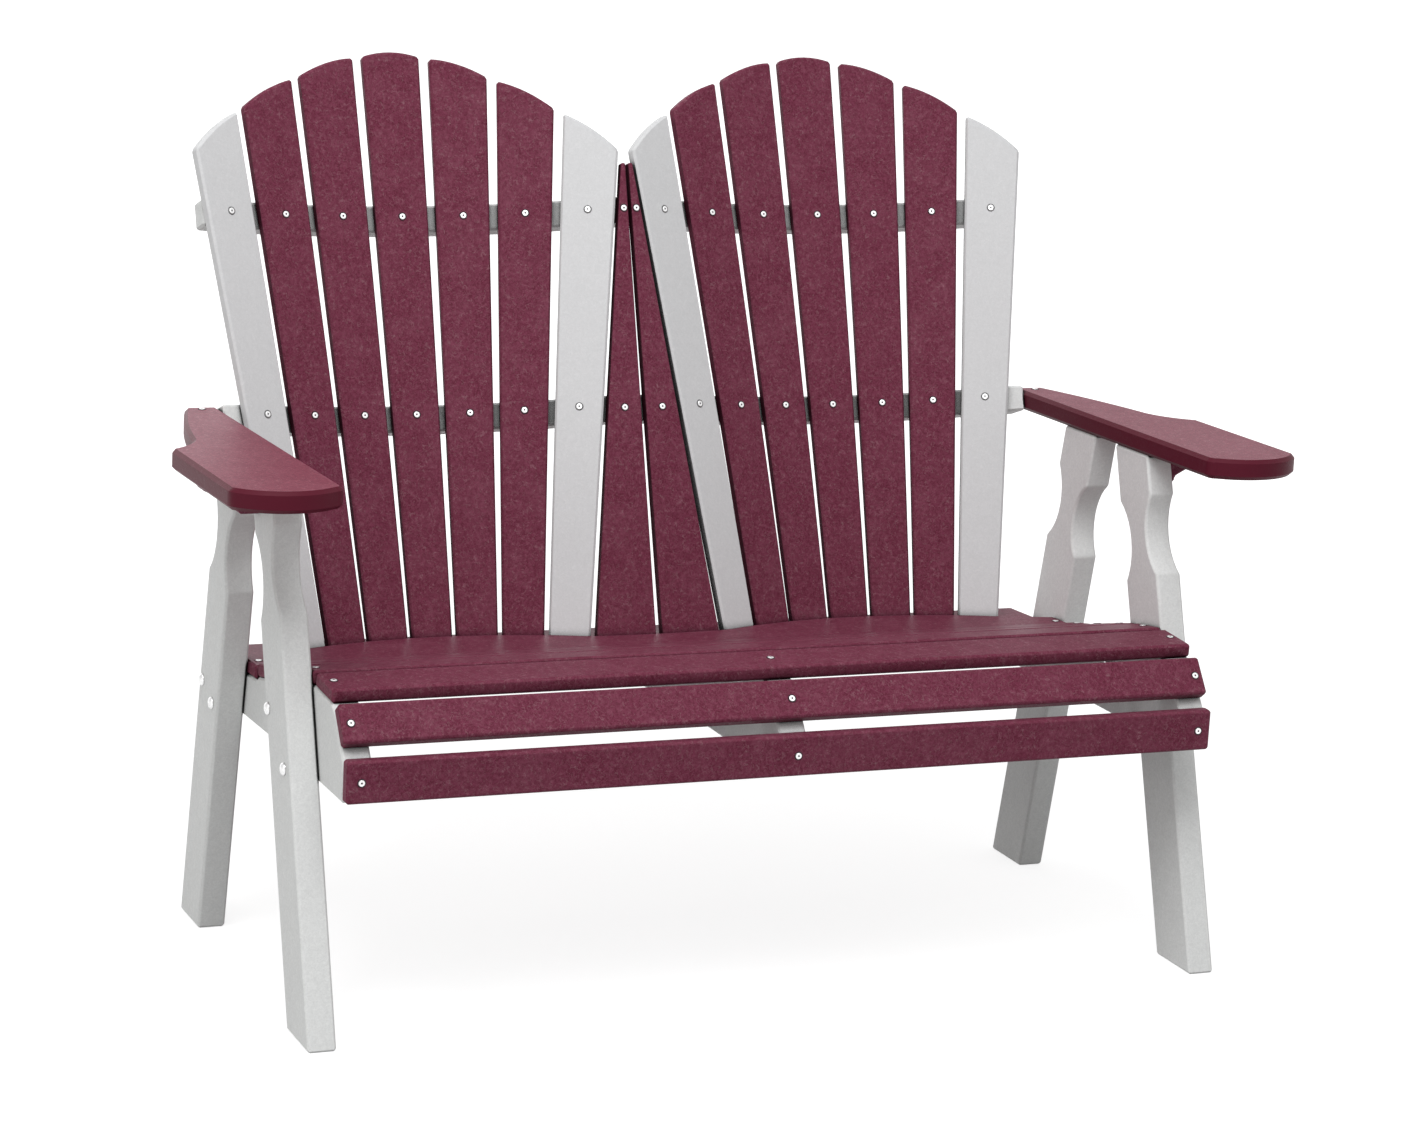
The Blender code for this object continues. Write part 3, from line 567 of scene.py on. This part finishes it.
RECLINE = math.radians(19.3)
BACK_FOOT_Y, BACK_FOOT_Z = 0.5585, 0.4527
FAN_OFFSET = 0.3175
FAN_RADIUS = 0.5615
FAN_APEX_DROP = 1.6761
FAN_PITCH = math.radians(6.8602)
FAN_SLATS = 7
MIDDLE_SLAT = 4
SLAT_SCREWS = (("low", 0.2435), ("high", 0.5225))
FILLER_SCREWS = (("low", 0.239, 0.0284), ("high", 0.5215, 0.0095))
IN_FRONT = 0.3
INTO_BACK = Vector((0, math.cos(RECLINE), -math.sin(RECLINE)))


def before_back(x, s):
    """A point well in front of the back's plane, s up along its slope."""
    y = BACK_FOOT_Y + s * math.sin(RECLINE) - IN_FRONT * math.cos(RECLINE)
    z = BACK_FOOT_Z + s * math.cos(RECLINE) + IN_FRONT * math.sin(RECLINE)
    return Vector((x, y + FRONT_Y, z))


for side, sign in SIDES:
    for number in range(1, FAN_SLATS + 1):
        angle = FAN_PITCH * (number - MIDDLE_SLAT)
        for row, s in SLAT_SCREWS:
            x = sign * FAN_OFFSET + FAN_RADIUS * (1 + s / FAN_APEX_DROP) * math.sin(angle)
            screw_on(f"slat_screw_{side}_{number}_{row}", f"back_slat_{side}_{number}",
                     before_back(x, s), INTO_BACK)
    for row, s, x in FILLER_SCREWS:
        screw_on(f"filler_screw_{side}_{row}", f"centre_filler_{side}",
                 before_back(sign * x, s), INTO_BACK)


# Seat: every board is fixed to both side rails, the foremost one to the centre support too

DOWN = Vector((0, 0, -1))
REARWARD = Vector((0, 1, 0))
SEAT_BOARDS = 5
SEAT_SCREW_X = 0.597
END_SCREWS = (("left", -SEAT_SCREW_X), ("right", SEAT_SCREW_X))
THREE_SCREWS = (END_SCREWS[0], ("centre", 0.0), END_SCREWS[1])
CLEAR_OF_BOARD = 0.1
REAR_SCREW_INSET = 0.03
UPPER_APRON_SCREW_Z = 0.418
ARM_SCREW_X, ARM_SCREW_Y = 0.632, 0.613
ABOVE_ARMS = 0.9

for number in range(1, SEAT_BOARDS + 1):
    low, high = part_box(f"seat_slat_{number}")
    for word, x in THREE_SCREWS if number == 1 else END_SCREWS:
        start = (x, (low.y + high.y) / 2, high.z + CLEAR_OF_BOARD)
        screw_on(f"seat_screw_{number}_{word}", f"seat_slat_{number}", start, DOWN)
low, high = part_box("seat_slat_rear")
for word, x in END_SCREWS:
    start = (x, low.y + REAR_SCREW_INSET, high.z + CLEAR_OF_BOARD)
    screw_on(f"seat_screw_rear_{word}", "seat_slat_rear", start, DOWN)
low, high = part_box("upper_apron")
for word, x in THREE_SCREWS:
    start = (x, low.y - CLEAR_OF_BOARD, UPPER_APRON_SCREW_Z)
    screw_on(f"upper_apron_screw_{word}", "upper_apron", start, REARWARD)
for side, sign in SIDES:
    start = (sign * ARM_SCREW_X, ARM_SCREW_Y + FRONT_Y, ABOVE_ARMS)
    screw_on(f"arm_screw_{side}", f"arm_{side}", start, DOWN)


# Apron screws that take the place of the plain packed ones

SHANK_STEPS = 20
SHANK_START = 0.0028
SHANK_SHORTENING = 0.003
SHANK_RADIUS = 0.0019
SHANK_CAP = 0.0002
SHANK_POINT_RADIUS = 0.0004
SHANK_PITCH = 0.0016
SHANK_ROOT_RADIUS, SHANK_CREST_RADIUS = 0.0015, 0.0021
SHANK_CREST_SHARE, SHANK_ROOT_SHARE = 0.4, 0.8
SHANK_THREADED_SHARE = 0.6


def apron_shank(name, length):
    """A threaded shank down from its head to a blunt point."""
    bm = bmesh.new()
    profile = [(0, -SHANK_CAP), (SHANK_RADIUS, -SHANK_CAP)]
    turns = int(length * SHANK_THREADED_SHARE / SHANK_PITCH)
    start = turns * SHANK_PITCH + SHANK_SHORTENING - length
    for k in range(turns):
        top = start - k * SHANK_PITCH
        profile += [
            (SHANK_ROOT_RADIUS, top),
            (SHANK_CREST_RADIUS, top - SHANK_PITCH * SHANK_CREST_SHARE),
            (SHANK_ROOT_RADIUS, top - SHANK_PITCH * SHANK_ROOT_SHARE),
        ]
    profile += [(SHANK_POINT_RADIUS, -length), (0, -length)]
    turned(bm, profile, SHANK_STEPS)
    return link(name, bm, HEAD_STEEL)


for word, _ in THREE_SCREWS:
    node_name = f"apron_screw_{word}"
    low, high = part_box(node_name)
    middle = (low + high) / 2
    place = Vector((middle.x, FRONT_Y, middle.z))
    head = screw_head(f"apron_screw_head_{word}", place, -REARWARD, CHERRY_SHADOW_RIM, middle.x)
    shank = apron_shank(f"apron_screw_shank_{word}", high.y - low.y - SHANK_SHORTENING)
    start = Matrix.Translation((middle.x, low.y + SHANK_START, middle.z))
    shank.data.transform(start @ Matrix.Rotation(math.pi / 2, 4, "X"))
    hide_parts(node_name)


# Carriage bolts and nuts that take the place of the plain packed ones

BOLT_STEPS = 40
BOLT_SHANK_RADIUS = 0.0043
BOLT_POINT_STEP = 0.0012
DOME_STEPS = 10
DOME_LIFT = 0.0006
DOME_UNDERSIDE = ((0.0, 0.0003), (0.0003, 0.0001))
THREAD_PITCH = 0.00125
THREAD_DEPTH = 0.0007
THREAD_TURNS = 14
THREAD_END = 0.0006
NUT_STEPS = 48
NUT_CHAMFER = 0.0011
NUT_CHAMFER_REACH = 1.01
BORE_CLEARANCE = 0.00015
WASHER_THICKNESS = 0.0014
WASHER_SINK = 0.0001
WASHER_EDGE = 0.0003
WASHER_EDGE_DROP = 0.0002
WASHER_CLEARANCE = 0.00005
SIXTH = math.pi / 3


def span_x(node_name, sign):
    """Where a node's box begins and ends, as distances from the middle plane on its side."""
    low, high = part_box(node_name)
    return (low.x, high.x) if sign > 0 else (-high.x, -low.x)


def carriage_bolt(name, radius, head, length):
    """A domed head over a shank with a thread at its far end."""
    bm = bmesh.new()
    profile = [(0, head)]
    for i in range(1, DOME_STEPS):
        angle = math.radians(90 * i / (DOME_STEPS - 1))
        height = DOME_LIFT + (head - DOME_LIFT) * math.cos(angle)
        profile.append((radius * math.sin(angle), height))
    profile += [(radius - inset, z) for inset, z in DOME_UNDERSIDE]
    profile.append((BOLT_SHANK_RADIUS, DOME_UNDERSIDE[-1][1]))
    top = -(length - THREAD_TURNS * THREAD_PITCH - THREAD_END)
    profile.append((BOLT_SHANK_RADIUS, top))
    for k in range(THREAD_TURNS):
        z = top - k * THREAD_PITCH
        profile.append((BOLT_SHANK_RADIUS - THREAD_DEPTH, z - THREAD_PITCH / 2))
        profile.append((BOLT_SHANK_RADIUS, z - THREAD_PITCH))
    profile += [(BOLT_SHANK_RADIUS - BOLT_POINT_STEP, -length), (0, -length)]
    turned(bm, profile, BOLT_STEPS)
    return link(name, bm, STEEL)


def hex_nut(name, radius, thickness):
    """A nut whose flats are chamfered to a circle on both faces, over a flat washer."""
    flat = radius * math.cos(SIXTH / 2)

    def hexagon(angle):
        near = (angle + SIXTH / 2) % SIXTH - SIXTH / 2
        return flat / math.cos(near) / radius

    def chamfered(angle):
        return min(hexagon(angle), flat * NUT_CHAMFER_REACH / radius)

    bm = bmesh.new()
    bore = BOLT_SHANK_RADIUS + BORE_CLEARANCE
    top, bottom = -WASHER_THICKNESS, -thickness
    profile = [
        (bore, top),
        (radius, top),
        (radius, top - NUT_CHAMFER),
        (radius, bottom + NUT_CHAMFER),
        (radius, bottom),
        (bore, bottom),
    ]
    squeeze = {1: chamfered, 2: hexagon, 3: hexagon, 4: chamfered}
    turned(bm, profile, NUT_STEPS, squeeze=squeeze, closed=True)
    below = WASHER_CLEARANCE - WASHER_THICKNESS
    washer = [
        (bore, -WASHER_SINK),
        (radius, -WASHER_SINK),
        (radius, WASHER_EDGE_DROP - WASHER_THICKNESS),
        (radius - WASHER_EDGE, below),
        (bore, below),
    ]
    turned(bm, washer, NUT_STEPS, closed=True)
    return link(name, bm, STEEL)


for side, sign in SIDES:
    for end, number in itertools.product(("front", "rear"), (1, 2)):
        bolt_name = f"carriage_bolt_{end}_{side}_{number}"
        nut_name = f"hex_nut_{end}_{side}_{number}"
        low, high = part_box(bolt_name)
        middle = (low + high) / 2
        inner, outer = span_x(bolt_name, sign)
        _, leg_face = span_x(f"leg_{end}_{side}", sign)
        turn = Matrix.Rotation(sign * math.pi / 2, 4, "Y")
        bolt = carriage_bolt(f"{bolt_name}_turned", (high.z - low.z) / 2,
                             outer - leg_face, leg_face - inner)
        place = (sign * leg_face, middle.y, middle.z)
        bolt.data.transform(Matrix.Translation(place) @ turn)
        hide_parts(bolt_name)

        low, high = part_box(nut_name)
        nut_inner, rail_face = span_x(nut_name, sign)
        nut = hex_nut(f"{nut_name}_turned", (high.y - low.y) / 2, rail_face - nut_inner)
        place = (sign * rail_face, middle.y, middle.z)
        nut.data.transform(Matrix.Translation(place) @ turn)
        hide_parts(nut_name)


# Studio: a pale floor, soft lamps and the camera

WHITE = (1, 1, 1, 1)
FLOOR_REACH = 40.0
FLOOR_COLOUR = (0.45, 0.45, 0.45, 1)
FLOOR_ROUGHNESS = 0.9
# The floor's own glow where it is seen: less near the object, so that its shadow shows
FLOOR_GLOW_NEAR, FLOOR_GLOW_FAR = 0.78, 1.0
FLOOR_GLOW_SPAN = (1.2, 3.5)
FILL_STRENGTH = 0.55
BACKDROP_STRENGTH = 1.0

# Lamps: name, place, target, width and height, power, colour
LAMPS = (
    ("key light", (-1.3, -2.1, 4.5), (0, 0, 0.5), (3.4, 2.6), 150, (0.985, 0.99, 1.0)),
    ("low left light", (-8.5, -3.2, 2.2), (0, 0, 0.4), (4.5, 3.2), 60, (1.0, 0.985, 0.955)),
    ("backdrop light", (0, 9.5, 2.8), (0, 0, 0.7), (10, 5.6), 150, (1.0, 1.0, 1.0)),
)

# The camera stands and looks as the photographer did, found from the seat's own edges
CAMERA_PLACE = (-2.0570, -4.4418, 1.7036)
CAMERA_YAW, CAMERA_PITCH, CAMERA_ROLL = (math.radians(a) for a in (-23.22, -12.71, 3.02))
CAMERA_SENSOR = 36.0
CAMERA_CLIP_END = 200
PICTURE_WIDTH_PIXELS = 1402
FOCAL_LENGTH_PIXELS = 3926.5


def studio_floor():
    bm = bmesh.new()
    corners = ((-1, -1), (1, -1), (1, 1), (-1, 1))
    bm.faces.new([bm.verts.new((x * FLOOR_REACH, y * FLOOR_REACH, 0)) for x, y in corners])
    mesh = bpy.data.meshes.new("studio_floor")
    bm.to_mesh(mesh)
    bm.free()
    n = new_material("studio floor")
    n.shader.inputs["Base Color"].default_value = FLOOR_COLOUR
    n.shader.inputs["Roughness"].default_value = FLOOR_ROUGHNESS
    n.shader.inputs["Specular IOR Level"].default_value = 0.0
    n.shader.inputs["Emission Color"].default_value = WHITE
    path = n.add("ShaderNodeLightPath")
    seen = n.maths("MAXIMUM", path.outputs["Is Camera Ray"], path.outputs["Is Glossy Ray"])
    far = n.ramp(n.length(n.add("ShaderNodeTexCoord").outputs["Object"]), *FLOOR_GLOW_SPAN)
    rise = n.maths("MULTIPLY", far, FLOOR_GLOW_FAR - FLOOR_GLOW_NEAR)
    glow = n.maths("ADD", FLOOR_GLOW_NEAR, rise)
    n.put(n.maths("MULTIPLY", seen, glow), n.shader.inputs["Emission Strength"])
    mesh.materials.append(n.owner)
    floor = bpy.data.objects.new("studio_floor", mesh)
    bpy.context.scene.collection.objects.link(floor)
    floor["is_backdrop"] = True


def studio_world():
    """A soft fill on the object, and plain white where the backdrop itself is seen."""
    world = bpy.data.worlds.new("studio")
    bpy.context.scene.world = world
    n = Nodes(world)
    n.tree.nodes.clear()
    path = n.add("ShaderNodeLightPath").outputs
    seen = n.maths("MAXIMUM", path["Is Camera Ray"], path["Is Transmission Ray"])
    seen = n.maths("MAXIMUM", seen, path["Is Glossy Ray"])
    fill = n.add("ShaderNodeBackground", Color=WHITE, Strength=FILL_STRENGTH)
    backdrop = n.add("ShaderNodeBackground", Color=WHITE, Strength=BACKDROP_STRENGTH)
    mix = n.add("ShaderNodeMixShader")
    for value, socket in zip((seen, fill.outputs[0], backdrop.outputs[0]), mix.inputs):
        n.put(value, socket)
    n.add("ShaderNodeOutputWorld", Surface=mix.outputs[0])


def softbox(name, place, target, size, power, colour):
    data = bpy.data.lights.new(name, "AREA")
    data.shape = "RECTANGLE"
    data.size, data.size_y = size
    data.energy = power
    data.color = colour
    lamp = bpy.data.objects.new(name, data)
    bpy.context.scene.collection.objects.link(lamp)
    lamp.location = place
    ahead = Vector(target) - Vector(place)
    lamp.rotation_euler = ahead.to_track_quat("-Z", "Y").to_euler()


def studio_camera():
    right = Vector((math.cos(CAMERA_YAW), math.sin(CAMERA_YAW), 0))
    ahead = Vector((
        -math.sin(CAMERA_YAW) * math.cos(CAMERA_PITCH),
        math.cos(CAMERA_YAW) * math.cos(CAMERA_PITCH),
        math.sin(CAMERA_PITCH),
    ))
    up = right.cross(ahead)
    across = right * math.cos(CAMERA_ROLL) + up * math.sin(CAMERA_ROLL)
    above = -right * math.sin(CAMERA_ROLL) + up * math.cos(CAMERA_ROLL)
    data = bpy.data.cameras.new("camera")
    data.sensor_width = CAMERA_SENSOR
    data.lens = FOCAL_LENGTH_PIXELS * CAMERA_SENSOR / PICTURE_WIDTH_PIXELS
    data.clip_end = CAMERA_CLIP_END
    camera = bpy.data.objects.new("camera", data)
    bpy.context.scene.collection.objects.link(camera)
    place = Matrix((across, above, -ahead)).transposed().to_4x4()
    place.translation = Vector(CAMERA_PLACE) + Vector((0, FRONT_Y, 0))
    camera.matrix_world = place
    bpy.context.scene.camera = camera


studio_floor()
studio_world()
for lamp in LAMPS:
    softbox(*lamp)
studio_camera()
bpy.context.scene.view_settings.view_transform = "Standard"

low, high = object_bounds()
